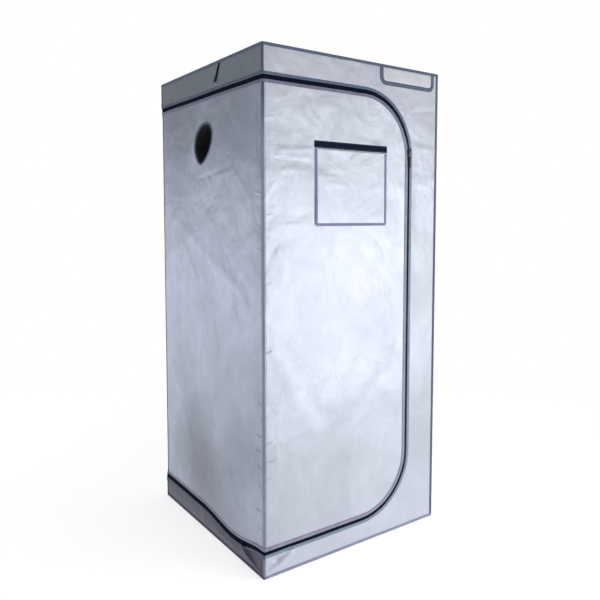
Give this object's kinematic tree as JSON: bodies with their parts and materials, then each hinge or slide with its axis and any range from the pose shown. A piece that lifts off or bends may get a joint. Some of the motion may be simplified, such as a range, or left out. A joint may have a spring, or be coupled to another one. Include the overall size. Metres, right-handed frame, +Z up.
{
  "type": "indoor grow tent",
  "caption": "Tall square cloth grow cabinet on a steel tube frame, with a zipped door wrapped round two sides, a flap window, a duct port and a loose floor tray.",
  "frame": {"origin": "on the floor, under the middle of the cabinet", "axes": "+Z up; the front wall faces -Y and the wall with the duct port faces -X"},
  "size_m": [0.8206, 0.8266, 1.8],
  "materials": {
    "silver_cloth": "satin",
    "floor_cloth": "satin",
    "blue_tape": "matte",
    "purple_tape": "matte",
    "zip_tape": "matte",
    "black_webbing": "matte",
    "window_film": "gloss",
    "white_steel": "satin",
    "black_plastic": "matte",
    "slider_metal": "satin"
  },
  "bodies": {
    "tent": {"roof_panel": "silver_cloth", "back_wall": "silver_cloth", "right_wall": "silver_cloth", "front_surround": "silver_cloth", "left_header": "silver_cloth", "left_sill": "silver_cloth", "name_patch": "silver_cloth", "floor_panel": "floor_cloth", "top_binding": "blue_tape", "corner_binding_rear_left": "blue_tape", "corner_binding_rear_right": "blue_tape", "name_patch_edge": "blue_tape", "bottom_binding": "purple_tape", "corner_binding_front_right": "purple_tape", "frame_zip_front": "zip_tape", "frame_zip_side_top": "zip_tape", "frame_zip_side_bottom": "zip_tape", "post_lower_front_left": "white_steel", "post_lower_front_right": "white_steel", "post_lower_rear_left": "white_steel", "post_lower_rear_right": "white_steel", "post_upper_front_left": "white_steel", "post_upper_front_right": "white_steel", "post_upper_rear_left": "white_steel", "post_upper_rear_right": "white_steel", "rail_bottom_front": "white_steel", "rail_bottom_rear": "white_steel", "rail_bottom_left": "white_steel", "rail_bottom_right": "white_steel", "rail_top_front": "white_steel", "rail_top_rear": "white_steel", "rail_top_left": "white_steel", "rail_top_right": "white_steel", "connector_bottom_front_left": "black_plastic", "connector_bottom_front_right": "black_plastic", "connector_bottom_rear_left": "black_plastic", "connector_bottom_rear_right": "black_plastic", "connector_top_front_left": "black_plastic", "connector_top_front_right": "black_plastic", "connector_top_rear_left": "black_plastic", "connector_top_rear_right": "black_plastic"},
    "side_door": {"side_door_panel": "silver_cloth", "door_zip_side_top": "zip_tape", "door_zip_side_bottom": "zip_tape", "door_corner_binding": "purple_tape", "duct_port_collar": "blue_tape", "duct_sleeve": "black_webbing"},
    "front_door": {"front_door_panel": "silver_cloth", "door_zip_front": "zip_tape", "window_film": "window_film", "window_strap": "black_webbing"},
    "window_flap": {"window_flap": "silver_cloth", "window_flap_edge": "purple_tape"},
    "zip_slider": {"zip_slider": "slider_metal", "slider_back_plate": "slider_metal"},
    "zip_pull": {"zip_pull": "black_plastic"},
    "tie_strap": {"tie_strap": "black_webbing"},
    "hanging_bar_front": {"hanging_bar_front": "white_steel"},
    "hanging_bar_rear": {"hanging_bar_rear": "white_steel"},
    "floor_tray": {"floor_tray": "floor_cloth"}
  },
  "joints": [
    {"name": "side_door_hinge", "type": "hinge", "parent": "tent", "child": "side_door", "pos_m": [-0.4085, 0.4085, 0.9], "axis": [0, 0, -1], "range_deg": [0, 100]},
    {"name": "front_door_hinge", "type": "hinge", "parent": "side_door", "child": "front_door", "pos_m": [-0.4085, -0.4085, 0.9], "axis": [0, 0, -1], "range_deg": [0, 160]},
    {"name": "window_flap_hinge", "type": "hinge", "parent": "front_door", "child": "window_flap", "pos_m": [-0.029, -0.4101, 1.475], "axis": [-1, 0, 0], "range_deg": [0, 150]},
    {"name": "zip_slide", "type": "slide", "parent": "front_door", "child": "zip_slider", "axis": [0, 0, -1], "range_m": [0, 1.12]},
    {"name": "zip_pull_swing", "type": "hinge", "parent": "zip_slider", "child": "zip_pull", "pos_m": [0.252, -0.4145, 1.463], "axis": [-1, 0, 0], "range_deg": [0, 120]},
    {"name": "tie_strap_swing", "type": "hinge", "parent": "tent", "child": "tie_strap", "pos_m": [-0.4103, -0.1185, 1.7904], "axis": [0, 1, 0], "range_deg": [0, 120]},
    {"name": "hanging_bar_front_slide", "type": "slide", "parent": "tent", "child": "hanging_bar_front", "axis": [0, 1, 0], "range_m": [-0.17, 0.13]},
    {"name": "hanging_bar_rear_slide", "type": "slide", "parent": "tent", "child": "hanging_bar_rear", "axis": [0, 1, 0], "range_m": [-0.13, 0.17]},
    {"name": "floor_tray_lift", "type": "slide", "parent": "tent", "child": "floor_tray", "axis": [0, 0, 1], "range_m": [0, 0.25]}
  ]
}
